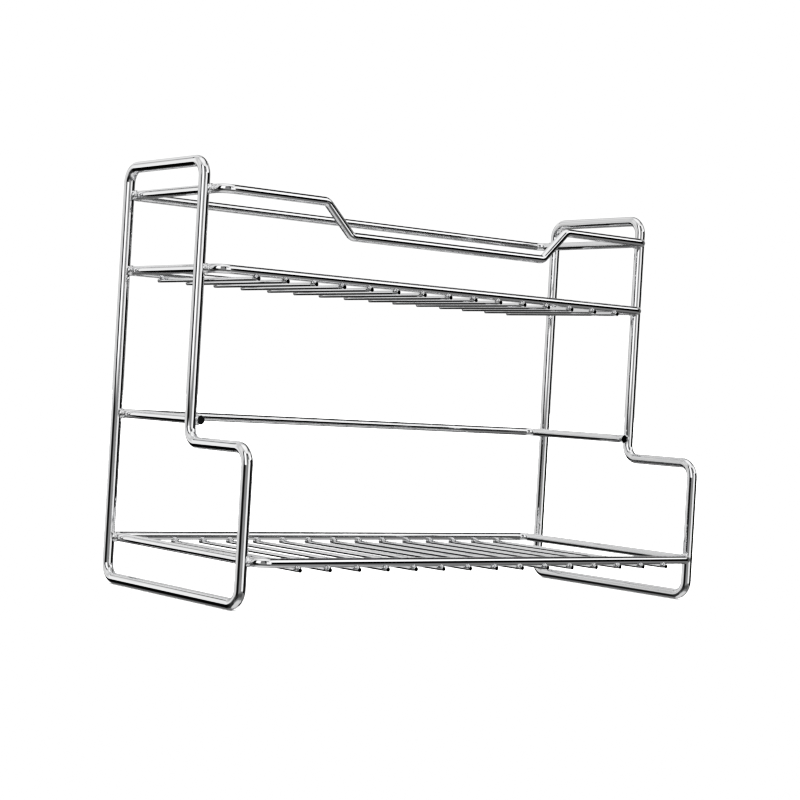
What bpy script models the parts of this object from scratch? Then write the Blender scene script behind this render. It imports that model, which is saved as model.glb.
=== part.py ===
"""Two-tier wire rack, welded from round chromed wire and standing on its two side frames.

Two stepped side frames carry, from the top down, a guard rail with a dip in its front run, a slatted upper
shelf, an open middle rail and a deeper slatted lower shelf. Nothing moves: every piece is welded to the next.

Axes: +X along the rack to its right, +Y to its back, +Z up. The origin is on the surface that the rack stands
on, at the middle of the rack's outline. Lengths are in metres.
"""

import math

import bpy
from mathutils import Vector

MM = 0.001

# Wire gauges, as diameters.
FRAME_WIRE = 7.5 * MM
RAIL_WIRE = 6.0 * MM
SHELF_WIRE = 3.0 * MM

# Sides of the round sections.
FRAME_SIDES = 16
RAIL_SIDES = 14
SHELF_WIRE_SIDES = 12

# Room left between pieces that touch.
WELD_GAP = 0.3 * MM

# Side frames. Depths run forward from the back post, heights up from the floor, both to the wire's centre.
RACK_LENGTH = 400.0 * MM
UPPER_DEPTH = 96.1 * MM
LOWER_DEPTH = 165.2 * MM
STEP_HEIGHT = 101.1 * MM
TOP_HEIGHT = 283.0 * MM
FRAME_BEND = 10.5 * MM

# Heights of the four levels, to the rail's centre.
GUARD_HEIGHT = 265.0 * MM
UPPER_SHELF_HEIGHT = 213.5 * MM
MIDDLE_HEIGHT = 115.6 * MM
LOWER_SHELF_HEIGHT = 31.0 * MM

# How far the rails stand out past the posts' centres.
BACK_OVERHANG = 9.3 * MM
UPPER_FRONT_OVERHANG = 13.1 * MM
LOWER_FRONT_OVERHANG = 9.7 * MM
ARM_OVERHANG = 2.4 * MM
RAIL_BEND = 8.0 * MM

# The dip in the guard rail's front run: half widths at its mouth and floor, and its depth.
DIP_MOUTH_HALF = 108.0 * MM
DIP_FLOOR_HALF = 86.0 * MM
DIP_DEPTH = 21.4 * MM
DIP_BEND = 5.5 * MM

# Shelf wires: how many on a shelf, their pitch, and how far they run past the rails' centres.
SHELF_WIRES = 15
SHELF_WIRE_PITCH = 23.0 * MM
BACK_TAIL = 3.9 * MM
UPPER_FRONT_TAIL = 3.5 * MM
LOWER_FRONT_TAIL = 3.5 * MM

ARC_STEPS = 8  # chords in a right-angled bend

# Places that follow from the sizes above.
FRAME_X = (RACK_LENGTH - FRAME_WIRE) / 2
RAIL_X = FRAME_X - (FRAME_WIRE + RAIL_WIRE) / 2 - WELD_GAP
FRAME_FOOT = FRAME_WIRE / 2 * math.cos(math.pi / FRAME_SIDES)
BACK_REACH = BACK_OVERHANG + BACK_TAIL
FRONT_REACH = LOWER_DEPTH + LOWER_FRONT_OVERHANG + LOWER_FRONT_TAIL
BACK_POST_Y = (FRONT_REACH - BACK_REACH) / 2
BACK_RAIL_Y = BACK_POST_Y + BACK_OVERHANG
UPPER_POST_Y = BACK_POST_Y - UPPER_DEPTH
UPPER_FRONT_Y = UPPER_POST_Y - UPPER_FRONT_OVERHANG
LOWER_FRONT_Y = BACK_POST_Y - LOWER_DEPTH - LOWER_FRONT_OVERHANG
WIRE_DROP = (RAIL_WIRE + SHELF_WIRE) / 2 + WELD_GAP


def clear_scene():
    for old in list(bpy.data.objects):
        bpy.data.objects.remove(old, do_unlink=True)


def chrome(name, tone, roughness):
    """A polished chrome plate on steel wire."""
    material = bpy.data.materials.new(name)
    material.use_nodes = True
    shader = material.node_tree.nodes["Principled BSDF"]
    shader.inputs["Base Color"].default_value = (tone, tone, tone * 1.01, 1.0)
    shader.inputs["Metallic"].default_value = 1.0
    shader.inputs["Roughness"].default_value = roughness
    return material


def bend(before, corner, after, radius):
    """Points of the arc that rounds one corner of a path, from its first tangent point to its last."""
    back = (before - corner).normalized()
    ahead = (after - corner).normalized()
    half_angle = back.angle(ahead) / 2
    centre = corner + (back + ahead).normalized() * (radius / math.sin(half_angle))
    start = corner + back * (radius / math.tan(half_angle)) - centre
    end = corner + ahead * (radius / math.tan(half_angle)) - centre
    turn = start.angle(end)
    steps = max(2, round(ARC_STEPS * turn / (math.pi / 2)))
    normal = start.cross(end).normalized()
    side = normal.cross(start)
    angles = [turn * step / steps for step in range(steps + 1)]
    return [centre + start * math.cos(angle) + side * math.sin(angle) for angle in angles]


def rounded_path(corners, radii, closed):
    """Points of a path through the corners, with a bend of its own radius at each."""
    corners = [Vector(corner) for corner in corners]
    points = []
    for index, corner in enumerate(corners):
        if not closed and index in (0, len(corners) - 1):
            points.append(corner)
            continue
        after = corners[(index + 1) % len(corners)]
        points += bend(corners[index - 1], corner, after, radii[index])
    return points


def bent_wire(name, corners, radii, diameter, sides, closed=True):
    """Curve data for a round wire bent along a path, with flats facing along the path's own Z axis."""
    curve = bpy.data.curves.new(name, "CURVE")
    curve.dimensions = "3D"
    curve.twist_mode = "Z_UP"
    curve.fill_mode = "FULL"
    curve.bevel_depth = diameter / 2
    curve.bevel_resolution = (sides - 4) // 2
    curve.use_fill_caps = not closed
    spline = curve.splines.new("POLY")
    points = rounded_path(corners, radii, closed)
    spline.points.add(len(points) - 1)
    for point, place in zip(spline.points, points):
        point.co = (*place, 1.0)
        point.tilt = math.pi / sides
    spline.use_cyclic_u = closed
    spline.use_smooth = True
    return curve


def place(name, data, material, location=(0, 0, 0), rotation=(0, 0, 0)):
    """Adds one sub-part to the rack."""
    part = bpy.data.objects.new(name, data)
    part.location = location
    part.rotation_euler = rotation
    if material.name not in data.materials:
        data.materials.append(material)
    part.parent = rack
    bpy.context.scene.collection.objects.link(part)
    return part


def side_frames(material):
    """The two stepped loops that everything hangs on. Their path runs forward along X and up along Y."""
    corners = [
        (0, FRAME_FOOT, 0),
        (0, TOP_HEIGHT, 0),
        (UPPER_DEPTH, TOP_HEIGHT, 0),
        (UPPER_DEPTH, STEP_HEIGHT, 0),
        (LOWER_DEPTH, STEP_HEIGHT, 0),
        (LOWER_DEPTH, FRAME_FOOT, 0),
    ]
    radii = [FRAME_BEND] * len(corners)
    data = bent_wire("side_frame", corners, radii, FRAME_WIRE, FRAME_SIDES)
    upright = (math.pi / 2, 0, -math.pi / 2)
    place("side_frame_left", data, material, (-FRAME_X, BACK_POST_Y, 0), upright)
    place("side_frame_right", data, material, (FRAME_X, BACK_POST_Y, 0), upright)


def upper_guard_rail(material):
    """The top loop, whose front run drops into a wide, shallow dip."""
    floor = -DIP_DEPTH
    corners = [
        (-RAIL_X, BACK_RAIL_Y, 0),
        (RAIL_X, BACK_RAIL_Y, 0),
        (RAIL_X, UPPER_FRONT_Y, 0),
        (DIP_MOUTH_HALF, UPPER_FRONT_Y, 0),
        (DIP_FLOOR_HALF, UPPER_FRONT_Y, floor),
        (-DIP_FLOOR_HALF, UPPER_FRONT_Y, floor),
        (-DIP_MOUTH_HALF, UPPER_FRONT_Y, 0),
        (-RAIL_X, UPPER_FRONT_Y, 0),
    ]
    radii = [RAIL_BEND] * 3 + [DIP_BEND] * 4 + [RAIL_BEND]
    data = bent_wire("upper_guard_rail", corners, radii, RAIL_WIRE, RAIL_SIDES)
    place("upper_guard_rail", data, material, (0, 0, GUARD_HEIGHT))


def middle_rail(material):
    """An open rail: a back run with an arm forward along each side frame, each arm cut off square."""
    arm_end = UPPER_POST_Y - ARM_OVERHANG
    corners = [
        (-RAIL_X, arm_end, 0),
        (-RAIL_X, BACK_RAIL_Y, 0),
        (RAIL_X, BACK_RAIL_Y, 0),
        (RAIL_X, arm_end, 0),
    ]
    radii = [RAIL_BEND] * len(corners)
    data = bent_wire("middle_rail", corners, radii, RAIL_WIRE, RAIL_SIDES, closed=False)
    place("middle_rail", data, material, (0, 0, MIDDLE_HEIGHT))


def shelf(name, height, front_y, front_tail, rail_material, wire_material):
    """A rounded rectangular rail loop with straight wires welded under it from front to back."""
    corners = [
        (-RAIL_X, BACK_RAIL_Y, 0),
        (RAIL_X, BACK_RAIL_Y, 0),
        (RAIL_X, front_y, 0),
        (-RAIL_X, front_y, 0),
    ]
    data = bent_wire(name + "_frame", corners, [RAIL_BEND] * 4, RAIL_WIRE, RAIL_SIDES)
    place(name + "_frame", data, rail_material, (0, 0, height))

    back_end = BACK_RAIL_Y + BACK_TAIL
    front_end = front_y - front_tail
    wire = straight_wire(name + "_wire", back_end - front_end)
    middle_y = (back_end + front_end) / 2
    first_x = -SHELF_WIRE_PITCH * (SHELF_WIRES - 1) / 2
    for index in range(SHELF_WIRES):
        where = (first_x + index * SHELF_WIRE_PITCH, middle_y, height - WIRE_DROP)
        place(f"{name}_wire_{index + 1:02d}", wire, wire_material, where)


def straight_wire(name, length):
    """Curve data for one straight shelf wire along Y, centred on its middle and cut off square."""
    ends = [(0, length / 2, 0), (0, -length / 2, 0)]
    return bent_wire(name, ends, [0, 0], SHELF_WIRE, SHELF_WIRE_SIDES, closed=False)


clear_scene()
rack = bpy.data.objects.new("rack", None)
bpy.context.scene.collection.objects.link(rack)

frame_chrome = chrome("frame_chrome", tone=0.80, roughness=0.06)
rail_chrome = chrome("rail_chrome", tone=0.78, roughness=0.07)
wire_chrome = chrome("shelf_wire_chrome", tone=0.74, roughness=0.10)

side_frames(frame_chrome)
upper_guard_rail(rail_chrome)
shelf("upper_shelf", UPPER_SHELF_HEIGHT, UPPER_FRONT_Y, UPPER_FRONT_TAIL, rail_chrome, wire_chrome)
middle_rail(rail_chrome)
shelf("lower_shelf", LOWER_SHELF_HEIGHT, LOWER_FRONT_Y, LOWER_FRONT_TAIL, rail_chrome, wire_chrome)
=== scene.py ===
"""A chromed two-tier wire rack: every bent wire's fine surface, its welds, a pale studio and the camera.

Lengths are in metres and angles in degrees unless a name says otherwise. +X runs along the rack and +Y to
its back.
"""

import math
import random

import bmesh
import bpy
from mathutils import Matrix, Vector


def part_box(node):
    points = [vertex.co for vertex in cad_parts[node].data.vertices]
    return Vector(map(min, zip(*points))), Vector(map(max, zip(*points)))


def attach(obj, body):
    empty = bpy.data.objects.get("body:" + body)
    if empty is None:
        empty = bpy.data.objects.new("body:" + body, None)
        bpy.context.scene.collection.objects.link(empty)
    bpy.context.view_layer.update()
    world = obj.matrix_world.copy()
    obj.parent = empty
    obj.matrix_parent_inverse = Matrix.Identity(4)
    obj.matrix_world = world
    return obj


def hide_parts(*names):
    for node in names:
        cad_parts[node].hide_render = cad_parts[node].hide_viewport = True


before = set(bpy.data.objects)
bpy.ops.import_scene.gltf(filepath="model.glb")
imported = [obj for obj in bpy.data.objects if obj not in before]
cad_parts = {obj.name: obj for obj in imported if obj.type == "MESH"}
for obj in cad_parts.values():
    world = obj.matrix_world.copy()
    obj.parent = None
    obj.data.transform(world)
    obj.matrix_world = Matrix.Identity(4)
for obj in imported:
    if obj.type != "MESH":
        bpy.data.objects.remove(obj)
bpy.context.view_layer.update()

MM = 0.001
TOUCH = 0.01 * MM  # vertices this close count as level
X_AXIS = Vector((1, 0, 0))
Y_AXIS = Vector((0, 1, 0))
Z_AXIS = Vector((0, 0, 1))

# Sides of the solids' own prisms.
SOLID_FRAME_SIDES = 16
SOLID_RAIL_SIDES = 14
SOLID_WIRE_SIDES = 12

# Fineness of the swept wires.
WIRE_SIDES = 40
ARC_STEPS = 22
LEAST_ARC_STEPS = 6
STRAIGHT_STEP = 6.0 * MM

# Bends, to the wire's centre. A bent wire is a little oval, fully so past BEND_EASE of the bend at each end.
FRAME_BEND = 10.5 * MM
RAIL_BEND = 8.0 * MM
DIP_BEND = 5.5 * MM
BEND_OVAL = 0.018
BEND_EASE = 1 / 3

# The dip's slope is found in this many rounds.
SLOPE_ROUNDS = 12

# Welds: the solids' gap, how far past touching a shelf wire sinks into its rail and a rail into its post, and
# the beads' reach from the weld's middle, with how uneven their rim is and how far their sides bulge.
SOLID_GAP = 0.3 * MM
WIRE_SET_DOWN = 0.15 * MM
RAIL_SET_DOWN = 0.5 * MM
WIRE_BEAD = 2.2 * MM
POST_BEAD = 3.1 * MM
WELD_SPOKES = 28
WELD_LEVELS = 7
WELD_WAVES = 3
WELD_ROUGHNESS = 0.10
WELD_BULGE = 0.13

# Cut ends: the chamfer round each, and how far off square a cut may be.
WIRE_CHAMFER = 0.08 * MM
RAIL_CHAMFER = 0.20 * MM
CUT_TILT = 1.5

# An open wire's materials are its own and then its cut faces'.
CUT_SLOT = 1

# Chrome: how fine each of its patterns is, in cycles a metre, and how deep its bumps are.
PATCHES_SCALE = 90.0
HAZE_SCALE = 420.0
WAVES_SCALE = 140.0
PITS_SCALE = 2600.0
WAVES_DEPTH = 0.05 * MM
PITS_DEPTH = 0.01 * MM
NOISE_LOW = 0.3
NOISE_HIGH = 0.7
COOL_TINT = (0.955, 0.960, 0.975)
GLOSSIEST = 0.6
DULLEST = 1.5

# Floor, backdrop and overhead light.
FLOOR_HALF_WIDTH = 20.0
FLOOR_SQUARES = 8
FLOOR_DROP = 0.2 * MM
FLOOR_TONE = 0.90
FLOOR_ROUGHNESS = 0.9
BACKDROP_BRIGHTNESS = 1.1
LIGHT_STRENGTH = 9.0
LIGHT_SPREAD = 120
LIGHT_PLACE = (0.0, 0.0, 2.4)

# Camera.
CAMERA_PLACE = Vector((-0.855755, -1.084137, 0.138892))
CAMERA_LENS_MM = 87.434
SENSOR_MM = 36.0
CAMERA_YAW = 37.7447
CAMERA_PITCH = -0.1352
CAMERA_ROLL = 3.3384
CLIP_START = 0.05
CLIP_END = 50.0

# The unevenness of the cuts and welds, the same on every run.
SEED = 7
chance = random.Random(SEED)


# ---------------------------------------------------------------- sizes read from the frame

def node_box(name):
    """A node's lowest corner, highest corner, middle and size."""
    low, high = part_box(name)
    return low, high, (low + high) / 2, high - low


def middle_height(name):
    _, _, middle, _ = node_box(name)
    return middle.z


def far_reach(name, axis, wanted, keep):
    """The highest (wanted max) or lowest (wanted min) place on an axis among the vertices that keep allows."""
    return wanted(v.co[axis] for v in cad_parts[name].data.vertices if keep(v.co))


FRAME_LOW, FRAME_HIGH, FRAME_MID, FRAME_SIZE = node_box("side_frame_right")
FRAME_RADIUS = FRAME_SIZE.x / 2 / math.cos(math.pi / SOLID_FRAME_SIDES)
FRAME_X = FRAME_MID.x
BACK_POST_Y = FRAME_HIGH.y - FRAME_SIZE.x / 2
LOWER_POST_Y = FRAME_LOW.y + FRAME_SIZE.x / 2
TOP_Z = FRAME_HIGH.z - FRAME_SIZE.x / 2
BOTTOM_Z = FRAME_LOW.z + FRAME_RADIUS
UPPER_FRONT_Y = far_reach("side_frame_right", 1, min, lambda p: p.z > FRAME_MID.z)
UPPER_POST_Y = UPPER_FRONT_Y + FRAME_SIZE.x / 2
STEP_TOP_Z = far_reach("side_frame_right", 2, max, lambda p: p.y < UPPER_POST_Y - FRAME_BEND)
STEP_Z = STEP_TOP_Z - FRAME_SIZE.x / 2

_, SHELF_HIGH, _, SHELF_SIZE = node_box("lower_shelf_frame")
RAIL_FLAT = SHELF_SIZE.z / 2
RAIL_RADIUS = RAIL_FLAT / math.cos(math.pi / SOLID_RAIL_SIDES)
RAIL_X = FRAME_X - FRAME_RADIUS - RAIL_RADIUS + RAIL_SET_DOWN
BACK_RAIL_Y = SHELF_HIGH.y - RAIL_RADIUS

GUARD_LOW, GUARD_HIGH, _, _ = node_box("upper_guard_rail")
GUARD_Z = GUARD_HIGH.z - RAIL_FLAT
DIP_FLOOR_Z = GUARD_LOW.z + RAIL_FLAT


# ---------------------------------------------------------------- wire paths

def bend(before, corner, after, radius):
    """Points along the arc that rounds a corner of a path, each with how oval the wire is there, 0 to 1."""
    back = (before - corner).normalized()
    ahead = (after - corner).normalized()
    half_angle = back.angle(ahead) / 2
    centre = corner + (back + ahead).normalized() * (radius / math.sin(half_angle))
    start = corner + back * (radius / math.tan(half_angle)) - centre
    end = corner + ahead * (radius / math.tan(half_angle)) - centre
    turn = start.angle(end)
    side = start.cross(end).normalized().cross(start)
    steps = max(LEAST_ARC_STEPS, round(ARC_STEPS * turn / (math.pi / 2)))
    points = []
    for step in range(steps + 1):
        angle = turn * step / steps
        bent = min(1.0, min(step, steps - step) / (steps * BEND_EASE))
        points.append((centre + start * math.cos(angle) + side * math.sin(angle), bent))
    return points


def rounded_path(corners, radii, closed):
    """A path through the corners with rounded bends and its straight runs divided finely."""
    corners = [Vector(corner) for corner in corners]
    bends = []
    for index, corner in enumerate(corners):
        if not closed and index in (0, len(corners) - 1):
            bends.append([(corner, 0.0)])
        else:
            following = corners[(index + 1) % len(corners)]
            bends.append(bend(corners[index - 1], corner, following, radii[index]))
    path = []
    for index, points in enumerate(bends):
        path += points
        if index + 1 < len(bends) or closed:
            path += straight_run(points[-1][0], bends[(index + 1) % len(bends)][0][0])
    return path


def straight_run(start, end):
    """Points strictly between two ends, about STRAIGHT_STEP apart."""
    pieces = max(1, round((end - start).length / STRAIGHT_STEP))
    return [(start.lerp(end, step / pieces), 0.0) for step in range(1, pieces)]


def tangents(places, closed):
    """The direction of the path at each of its places."""
    count = len(places)
    found = []
    for index in range(count):
        before = places[index - 1] if closed or index else places[0]
        after = places[(index + 1) % count] if closed or index < count - 1 else places[-1]
        found.append((after - before).normalized())
    return found


def ring(bm, centre, tangent, reference, radius, bent, inward):
    """One ring of vertices square to the tangent, slightly oval where the wire is bent."""
    side = tangent.cross(reference).normalized()
    up = side.cross(tangent)
    verts = []
    for step in range(WIRE_SIDES):
        angle = 2 * math.pi * step / WIRE_SIDES
        out = side * math.cos(angle) + up * math.sin(angle)
        stretch = 1.0
        if bent:
            stretch += bent * BEND_OVAL * (1 - 2 * out.dot(inward) ** 2)
        verts.append(bm.verts.new(centre + out * radius * stretch))
    return verts


def join_rings(bm, first, second):
    """Faces all round between two rings."""
    for step in range(WIRE_SIDES):
        following = (step + 1) % WIRE_SIDES
        face = bm.faces.new((first[step], first[following], second[following], second[step]))
        face.smooth = True


def swept_wire(name, path, radius, reference, closed, materials, chamfer=0.0):
    """A round wire along a path. An open wire ends in flat cut faces with a small chamfer round each."""
    places = [place for place, _ in path]
    directions = tangents(places, closed)
    bm = bmesh.new()
    rings = []
    for index, (place, bent) in enumerate(path):
        change = directions[(index + 1) % len(path)] - directions[index - 1]
        inward = change.normalized() if bent else None
        rings.append(ring(bm, place, directions[index], reference, radius, bent, inward))
    for first, second in zip(rings, rings[1:]):
        join_rings(bm, first, second)
    if closed:
        join_rings(bm, rings[-1], rings[0])
    else:
        cut_end(bm, rings[0], places[0], -directions[0], reference, radius, chamfer)
        cut_end(bm, rings[-1], places[-1], directions[-1], reference, radius, chamfer)
    bmesh.ops.recalc_face_normals(bm, faces=bm.faces)
    return finished_mesh(name, bm, materials)


def cut_end(bm, last_ring, place, outward, reference, radius, chamfer):
    """Pulls the last ring back by the chamfer, adds the cut face's own ring and fills it in."""
    for vert in last_ring:
        vert.co -= outward * chamfer
    tilt = Matrix.Rotation(math.radians(chance.uniform(-CUT_TILT, CUT_TILT)), 3, reference)
    face_ring = []
    for vert in last_ring:
        spoke = vert.co - place + outward * chamfer
        face_ring.append(bm.verts.new(place + tilt @ (spoke * (1 - chamfer / radius))))
    join_rings(bm, last_ring, face_ring)
    face = bm.faces.new(face_ring)
    face.material_index = CUT_SLOT
    face.smooth = False
    for edge in face.edges:
        edge.smooth = False


def finished_mesh(name, bm, materials):
    """Turns the mesh under construction into an object in the scene."""
    mesh = bpy.data.meshes.new(name)
    bm.to_mesh(mesh)
    bm.free()
    for material in materials:
        mesh.materials.append(material)
    piece = bpy.data.objects.new(name, mesh)
    bpy.context.scene.collection.objects.link(piece)
    return piece


def stands_for(piece, node):
    """Hides a CAD node and attaches the fine piece shown in its place to the root body."""
    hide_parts(node)
    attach(piece, "root")


# ---------------------------------------------------------------- materials

def node_of(tree, kind, **values):
    """A new node with these settings."""
    node = tree.nodes.new(kind)
    for name, value in values.items():
        setattr(node, name, value)
    return node


def noise(tree, vector, scale, detail, roughness=0.5):
    """The factor of a noise texture."""
    texture = node_of(tree, "ShaderNodeTexNoise")
    texture.inputs["Scale"].default_value = scale
    texture.inputs["Detail"].default_value = detail
    texture.inputs["Roughness"].default_value = roughness
    tree.links.new(vector, texture.inputs["Vector"])
    return texture.outputs["Fac"]


def spread(tree, factor, low, high):
    """Maps a noise's usual range onto another."""
    ramp = node_of(tree, "ShaderNodeMapRange")
    ramp.inputs["From Min"].default_value = NOISE_LOW
    ramp.inputs["From Max"].default_value = NOISE_HIGH
    ramp.inputs["To Min"].default_value = low
    ramp.inputs["To Max"].default_value = high
    tree.links.new(factor, ramp.inputs["Value"])
    return ramp.outputs["Result"]


def chrome(name, tone, roughness, ripple, grain):
    """Bright chrome plate, a little uneven in tone and gloss, with a faint ripple from the wire under it."""
    material = bpy.data.materials.new(name)
    material.use_nodes = True
    tree = material.node_tree
    shader = tree.nodes["Principled BSDF"]
    shader.inputs["Metallic"].default_value = 1.0
    place = node_of(tree, "ShaderNodeTexCoord").outputs["Object"]

    patches = noise(tree, place, PATCHES_SCALE, detail=3.0)
    tint = node_of(tree, "ShaderNodeMix", data_type="RGBA")
    tint.inputs["A"].default_value = (*(tone * channel for channel in COOL_TINT), 1)
    tint.inputs["B"].default_value = (tone, tone, tone, 1)
    tree.links.new(spread(tree, patches, 0.0, 1.0), tint.inputs["Factor"])
    tree.links.new(tint.outputs["Result"], shader.inputs["Base Color"])

    haze = noise(tree, place, HAZE_SCALE, detail=5.0, roughness=0.6)
    gloss = spread(tree, haze, roughness * GLOSSIEST, roughness * DULLEST)
    tree.links.new(gloss, shader.inputs["Roughness"])

    waves = noise(tree, place, WAVES_SCALE, detail=2.0)
    pits = noise(tree, place, PITS_SCALE, detail=4.0, roughness=0.7)
    coarse = node_of(tree, "ShaderNodeBump")
    coarse.inputs["Strength"].default_value = ripple
    coarse.inputs["Distance"].default_value = WAVES_DEPTH
    fine = node_of(tree, "ShaderNodeBump")
    fine.inputs["Strength"].default_value = grain
    fine.inputs["Distance"].default_value = PITS_DEPTH
    tree.links.new(waves, coarse.inputs["Height"])
    tree.links.new(pits, fine.inputs["Height"])
    tree.links.new(coarse.outputs["Normal"], fine.inputs["Normal"])
    tree.links.new(fine.outputs["Normal"], shader.inputs["Normal"])
    return material


FRAME_CHROME = chrome("frame_chrome", tone=0.94, roughness=0.010, ripple=0.035, grain=0.004)
RAIL_CHROME = chrome("rail_chrome", tone=0.94, roughness=0.010, ripple=0.035, grain=0.004)
WIRE_CHROME = chrome("shelf_wire_chrome", tone=0.93, roughness=0.010, ripple=0.02, grain=0.002)
CUT_CHROME = chrome("cut_end_chrome", tone=0.45, roughness=0.050, ripple=0.05, grain=0.03)
WELD_CHROME = chrome("weld_chrome", tone=0.98, roughness=0.160, ripple=0.03, grain=0.004)


# ---------------------------------------------------------------- the wires

def side_frame(name, x):
    """One stepped side frame, at a place along the rack."""
    corners = [
        (x, BACK_POST_Y, BOTTOM_Z),
        (x, BACK_POST_Y, TOP_Z),
        (x, UPPER_POST_Y, TOP_Z),
        (x, UPPER_POST_Y, STEP_Z),
        (x, LOWER_POST_Y, STEP_Z),
        (x, LOWER_POST_Y, BOTTOM_Z),
    ]
    path = rounded_path(corners, [FRAME_BEND] * len(corners), closed=True)
    piece = swept_wire(name + "_fine", path, FRAME_RADIUS, X_AXIS, True, [FRAME_CHROME])
    stands_for(piece, name)


def rail_loop(name):
    """A closed rectangular rail with rounded corners, in the place of the frame's own."""
    low, _, middle, _ = node_box(name)
    front_y = low.y + RAIL_RADIUS
    corners = [
        (-RAIL_X, BACK_RAIL_Y, middle.z),
        (RAIL_X, BACK_RAIL_Y, middle.z),
        (RAIL_X, front_y, middle.z),
        (-RAIL_X, front_y, middle.z),
    ]
    path = rounded_path(corners, [RAIL_BEND] * len(corners), closed=True)
    piece = swept_wire(name + "_fine", path, RAIL_RADIUS, Z_AXIS, True, [RAIL_CHROME])
    stands_for(piece, name)


def guard_rail():
    """The top loop, whose front run drops into a wide dip."""
    front_y = GUARD_LOW.y + RAIL_RADIUS
    mouth, floor = dip_half_widths()
    corners = [
        (-RAIL_X, BACK_RAIL_Y, GUARD_Z),
        (RAIL_X, BACK_RAIL_Y, GUARD_Z),
        (RAIL_X, front_y, GUARD_Z),
        (mouth, front_y, GUARD_Z),
        (floor, front_y, DIP_FLOOR_Z),
        (-floor, front_y, DIP_FLOOR_Z),
        (-mouth, front_y, GUARD_Z),
        (-RAIL_X, front_y, GUARD_Z),
    ]
    radii = [RAIL_BEND] * 3 + [DIP_BEND] * 4 + [RAIL_BEND]
    path = rounded_path(corners, radii, closed=True)
    piece = swept_wire("upper_guard_rail_fine", path, RAIL_RADIUS, Z_AXIS, True, [RAIL_CHROME])
    stands_for(piece, "upper_guard_rail")


def dip_half_widths():
    """Half widths of the dip at its mouth and its floor, at the corners that its bends round off."""
    front = GUARD_LOW.y + 2 * RAIL_RADIUS

    def on_front_top(p):
        return p.x > 0 and p.y < front and p.z > GUARD_HIGH.z - TOUCH

    mouth_end = far_reach("upper_guard_rail", 0, min, on_front_top)
    floor_end = far_reach("upper_guard_rail", 0, max, lambda p: p.z < GUARD_LOW.z + TOUCH)
    tangent = 0.0
    for _ in range(SLOPE_ROUNDS):
        slope = math.atan2(GUARD_Z - DIP_FLOOR_Z, mouth_end - floor_end - 2 * tangent)
        tangent = DIP_BEND * math.tan(slope / 2)
    return mouth_end - tangent, floor_end + tangent


def middle_rail():
    """The open rail: a back run and two arms, cut off at the upper front posts."""
    low, _, middle, _ = node_box("middle_rail")
    corners = [
        (-RAIL_X, low.y, middle.z),
        (-RAIL_X, BACK_RAIL_Y, middle.z),
        (RAIL_X, BACK_RAIL_Y, middle.z),
        (RAIL_X, low.y, middle.z),
    ]
    path = rounded_path(corners, [RAIL_BEND] * len(corners), closed=False)
    materials = [RAIL_CHROME, CUT_CHROME]
    piece = swept_wire("middle_rail_fine", path, RAIL_RADIUS, Z_AXIS, False, materials, chamfer=RAIL_CHAMFER)
    stands_for(piece, "middle_rail")


def shelf_wire(name):
    """A straight wire from front to back. Returns the middle of its top line and its radius."""
    low, high, middle, size = node_box(name)
    radius = size.x / 2 / math.cos(math.pi / SOLID_WIRE_SIDES)
    z = middle.z + SOLID_GAP + WIRE_SET_DOWN
    path = rounded_path([(middle.x, high.y, z), (middle.x, low.y, z)], [0, 0], closed=False)
    materials = [WIRE_CHROME, CUT_CHROME]
    piece = swept_wire(name + "_fine", path, radius, Z_AXIS, False, materials, chamfer=WIRE_CHAMFER)
    stands_for(piece, name)
    return Vector((middle.x, 0, z + radius)), radius


# ---------------------------------------------------------------- welds

def weld_bead(name, contact, up, along, low_radius, high_radius, reach):
    """The metal squeezed out round a spot weld between two crossed wires.

    up points from the lower wire to the upper one, and along is the lower wire's direction. Seen along up,
    the bead is a rough disc; it fills the wedge between the two round surfaces and bulges a little out of it.
    """
    across = up.cross(along)
    bm = bmesh.new()
    phases = [chance.uniform(0, 2 * math.pi) for _ in range(WELD_WAVES)]
    columns = []
    for spoke in range(WELD_SPOKES):
        angle = 2 * math.pi * spoke / WELD_SPOKES
        waves = [math.sin(count * angle + phase) for count, phase in enumerate(phases, start=2)]
        far = reach * (1 + WELD_ROUGHNESS * sum(waves) / WELD_WAVES)
        x, y = far * math.cos(angle), far * math.sin(angle)
        bottom = math.sqrt(max(low_radius ** 2 - y ** 2, 0)) - low_radius
        top = high_radius - math.sqrt(max(high_radius ** 2 - x ** 2, 0))
        column = []
        for level in range(WELD_LEVELS):
            share = level / (WELD_LEVELS - 1)
            bulge = 1 + WELD_BULGE * math.sin(math.pi * share)
            height = bottom + (top - bottom) * share
            column.append(bm.verts.new(contact + along * x * bulge + across * y * bulge + up * height))
        columns.append(column)
    for spoke in range(WELD_SPOKES):
        first, second = columns[spoke], columns[(spoke + 1) % WELD_SPOKES]
        for level in range(WELD_LEVELS - 1):
            face = bm.faces.new((first[level], second[level], second[level + 1], first[level + 1]))
            face.smooth = True
    piece = finished_mesh(name, bm, [WELD_CHROME])
    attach(piece, "root")


def shelf(name):
    """One shelf: its rail loop, its wires and a weld wherever a wire passes under the loop."""
    rail_loop(name + "_frame")
    low, _, _, _ = node_box(name + "_frame")
    front_y = low.y + RAIL_RADIUS
    wires = sorted(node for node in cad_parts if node.startswith(name + "_wire_"))
    for wire in wires:
        top, radius = shelf_wire(wire)
        for end, y in (("front", front_y), ("back", BACK_RAIL_Y)):
            contact = Vector((top.x, y, top.z))
            weld_bead(f"{wire}_{end}_weld", contact, Z_AXIS, Y_AXIS, radius, RAIL_RADIUS, WIRE_BEAD)


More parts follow.
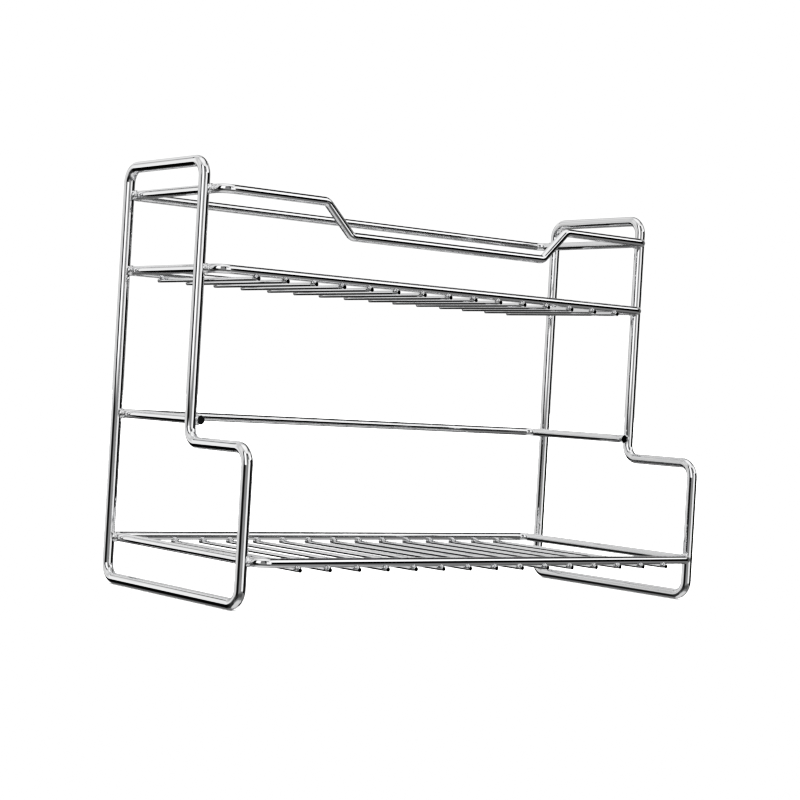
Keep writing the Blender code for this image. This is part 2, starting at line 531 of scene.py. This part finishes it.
def post_welds():
    """Welds where each rail's side run touches a post."""
    rails = [
        ("guard", GUARD_Z, UPPER_POST_Y),
        ("upper", middle_height("upper_shelf_frame"), UPPER_POST_Y),
        ("middle", middle_height("middle_rail"), UPPER_POST_Y),
        ("lower", middle_height("lower_shelf_frame"), LOWER_POST_Y),
    ]
    for name, z, front_y in rails:
        for end, y in (("front", front_y), ("back", BACK_POST_Y)):
            for side, outward in (("left", -X_AXIS), ("right", X_AXIS)):
                contact = Vector((outward.x * (FRAME_X - FRAME_RADIUS), y, z))
                label = f"{name}_{end}_{side}_weld"
                weld_bead(label, contact, outward, Y_AXIS, RAIL_RADIUS, FRAME_RADIUS, POST_BEAD)


side_frame("side_frame_left", -FRAME_X)
side_frame("side_frame_right", FRAME_X)
guard_rail()
shelf("upper_shelf")
middle_rail()
shelf("lower_shelf")
post_welds()


# ---------------------------------------------------------------- studio

def floor():
    """A pale floor, far wider than the view. The chrome mirrors the studio's low panels instead of it."""
    bm = bmesh.new()
    squares = FLOOR_SQUARES
    bmesh.ops.create_grid(bm, x_segments=squares, y_segments=squares, size=FLOOR_HALF_WIDTH)
    material = bpy.data.materials.new("floor_paper")
    material.use_nodes = True
    shader = material.node_tree.nodes["Principled BSDF"]
    shader.inputs["Base Color"].default_value = (FLOOR_TONE, FLOOR_TONE, FLOOR_TONE, 1)
    shader.inputs["Roughness"].default_value = FLOOR_ROUGHNESS
    piece = finished_mesh("floor", bm, [material])
    piece.location.z = -FLOOR_DROP
    piece.visible_glossy = False


def math_node(tree, operation, *values):
    """One sum of numbers and sockets."""
    node = node_of(tree, "ShaderNodeMath", operation=operation)
    for socket, value in zip(node.inputs, values):
        if isinstance(value, (int, float)):
            socket.default_value = value
        else:
            tree.links.new(value, socket)
    return node.outputs[0]


def edge_mask(tree, angle, half, soft):
    """1 inside the half width and 0 outside, with a soft edge. Angles in degrees."""
    ramp = node_of(tree, "ShaderNodeMapRange", interpolation_type="SMOOTHSTEP")
    ramp.inputs["From Min"].default_value = half + soft / 2
    ramp.inputs["From Max"].default_value = half - soft / 2
    tree.links.new(math_node(tree, "ABSOLUTE", angle), ramp.inputs["Value"])
    return ramp.outputs["Result"]


BASE_LEVEL = 0.40
BLACK = 0.002
# Each panel: bearing, half width, side edges' softness, height, half height, upper and lower edges' softness
# and brightness. Later ones cover earlier ones. A half width of 181 goes all the way round.
PANELS = [
    (0, 181, 2, 85, 20, 20, 1.0),  # ceiling
    (0, 181, 2, -45, 50, 10, 0.2),  # dim floor
    (0, 181, 2, -85, 25, 15, 0.6),  # lighter floor under the rack
    (-140, 30, 5, 20, 35, 5, 0.55),  # grey wall, back left
    (-150, 5, 15, 10, 20, 10, 0.95),  # softbox on it
    (-160, 5, 2, 30, 5, 5, BLACK),  # small flag on it
    (-140, 35, 10, -40, 20, 10, 0.05),  # dark floor, back left
    (-160, 20, 20, -25, 15, 2, BLACK),  # black skirting, back left
    (-10, 40, 5, -35, 10, 10, 0.1),  # dark floor, front
    (-80, 20, 10, -20, 25, 2, 0.01),  # black screen, low left
    (-70, 25, 5, -35, 10, 5, 0.05),  # dark floor, left
    (-100, 10, 5, 30, 20, 10, 0.6),  # grey panel, left
    (-115, 15, 5, 35, 20, 5, 0.7),  # lighter panel, left
    (-60, 15, 5, 25, 25, 2, 1.3),  # main softbox, front left
    (-85, 10, 5, 25, 20, 5, 0.01),  # black flag beside it
    (-30, 15, 5, 30, 25, 5, 0.2),  # dark panel, front left
    (-35, 20, 5, -10, 10, 2, 0.25),  # grey strip under it
    (-25, 5, 10, 0, 10, 5, 0.25),  # grey strip beside that
    (-10, 40, 5, 65, 10, 5, 0.9),  # high softbox, front
    (20, 15, 5, 30, 15, 5, 0.05),  # dark panel, front right
    (10, 15, 2, 5, 20, 2, 1.0),  # softbox, front
    (-10, 5, 5, 30, 25, 5, BLACK),  # black flag, front
    (-10, 15, 5, 50, 5, 5, BLACK),  # its crossbar
    (40, 20, 5, 35, 15, 2, 1.3),  # second softbox, front right
    (30, 15, 5, 45, 15, 5, 0.9),  # its upper edge
    (50, 20, 5, 0, 20, 2, BLACK),  # black screen, front right
    (85, 15, 2, 5, 25, 5, 0.1),  # dark panel, right
    (90, 20, 5, 50, 10, 5, 0.05),  # dark panel, high right
    (125, 15, 2, 45, 10, 2, BLACK),  # black flag, back right
    (175, 15, 2, 40, 20, 5, 0.75),  # light panel, back
    (70, 25, 5, -60, 10, 5, 0.6),  # light floor, right
    (100, 15, 5, -50, 10, 5, 0.05),  # dark floor, right
    (130, 10, 2, -40, 5, 2, 0.75),  # light strip, back right
    (175, 5, 5, -20, 25, 5, 0.1),  # dark strip, back
]


def studio():
    """The studio that the chrome mirrors: white softboxes and black flags, each a patch of the sky.

    Bearing 0 is straight in front of the rack, +90 to its right and 180 behind it; height is the angle above
    the rack's own level. The camera itself sees a plain white backdrop.
    """
    world = bpy.data.worlds.new("studio")
    bpy.context.scene.world = world
    world.use_nodes = True
    tree = world.node_tree
    tree.nodes.clear()
    way = node_of(tree, "ShaderNodeTexCoord").outputs["Generated"]
    split = node_of(tree, "ShaderNodeSeparateXYZ")
    tree.links.new(way, split.inputs[0])
    x, y, z = split.outputs
    towards_front = math_node(tree, "MULTIPLY", y, -1.0)
    bearing = math_node(tree, "DEGREES", math_node(tree, "ARCTAN2", x, towards_front))
    height = math_node(tree, "DEGREES", math_node(tree, "ARCSINE", z))

    level = BASE_LEVEL
    for bearing_at, half_width, side_soft, height_at, half_height, top_soft, brightness in PANELS:
        aside = math_node(tree, "SUBTRACT", bearing, bearing_at)
        off = math_node(tree, "WRAP", aside, 180.0, -180.0)
        up = math_node(tree, "SUBTRACT", height, height_at)
        wide = edge_mask(tree, off, half_width, side_soft)
        tall = edge_mask(tree, up, half_height, top_soft)
        mask = math_node(tree, "MULTIPLY", wide, tall)
        mix = node_of(tree, "ShaderNodeMix")
        tree.links.new(mask, mix.inputs["Factor"])
        if isinstance(level, float):
            mix.inputs["A"].default_value = level
        else:
            tree.links.new(level, mix.inputs["A"])
        mix.inputs["B"].default_value = brightness
        level = mix.outputs["Result"]

    seen = node_of(tree, "ShaderNodeBackground")
    tree.links.new(level, seen.inputs["Color"])
    paper = node_of(tree, "ShaderNodeBackground")
    paper.inputs["Color"].default_value = (1, 1, 1, 1)
    paper.inputs["Strength"].default_value = BACKDROP_BRIGHTNESS
    eye = node_of(tree, "ShaderNodeLightPath").outputs["Is Camera Ray"]
    choice = node_of(tree, "ShaderNodeMixShader")
    tree.links.new(eye, choice.inputs["Fac"])
    tree.links.new(seen.outputs["Background"], choice.inputs[1])
    tree.links.new(paper.outputs["Background"], choice.inputs[2])
    out = node_of(tree, "ShaderNodeOutputWorld")
    tree.links.new(choice.outputs["Shader"], out.inputs["Surface"])


def overhead_light():
    """A broad even light from above for the floor. The chrome doesn't mirror it."""
    lamp = bpy.data.lights.new("overhead", "SUN")
    lamp.energy = LIGHT_STRENGTH
    lamp.angle = math.radians(LIGHT_SPREAD)
    holder = bpy.data.objects.new("overhead", lamp)
    holder.location = LIGHT_PLACE
    holder.visible_glossy = False
    bpy.context.scene.collection.objects.link(holder)


def camera():
    """The photo's angle: yaw is to the right of straight along +Y, pitch is up and roll is anticlockwise."""
    yaw, pitch, roll = (math.radians(angle) for angle in (CAMERA_YAW, CAMERA_PITCH, CAMERA_ROLL))
    ahead = Vector((math.sin(yaw) * math.cos(pitch), math.cos(yaw) * math.cos(pitch), math.sin(pitch)))
    level_right = Vector((math.cos(yaw), -math.sin(yaw), 0))
    level_up = level_right.cross(ahead)
    right = level_right * math.cos(roll) + level_up * math.sin(roll)
    up = right.cross(ahead)
    lens = bpy.data.cameras.new("camera")
    lens.lens = CAMERA_LENS_MM
    lens.sensor_width = SENSOR_MM
    lens.clip_start = CLIP_START
    lens.clip_end = CLIP_END
    holder = bpy.data.objects.new("camera", lens)
    turn = Matrix((right, up, -ahead)).transposed().to_4x4()
    holder.matrix_world = Matrix.Translation(CAMERA_PLACE) @ turn
    bpy.context.scene.collection.objects.link(holder)
    bpy.context.scene.camera = holder


# The picture's tone curve, from scene brightness to shown brightness: crisp blacks and lifted lights.
TONE_POINTS = [
    (0.01, 0.004),
    (0.03, 0.014),
    (0.08, 0.06),
    (0.13, 0.11),
    (0.22, 0.22),
    (0.28, 0.32),
    (0.38, 0.46),
    (0.50, 0.57),
    (0.66, 0.72),
    (0.86, 0.88),
]
ALL_CHANNELS = 3


def tone_curve():
    settings = bpy.context.scene.view_settings
    settings.view_transform = "Standard"
    settings.use_curve_mapping = True
    curves = settings.curve_mapping
    curves.extend = "HORIZONTAL"
    for scene_level, shown_level in TONE_POINTS:
        curves.curves[ALL_CHANNELS].points.new(scene_level, shown_level)
    curves.update()


floor()
studio()
overhead_light()
camera()
tone_curve()
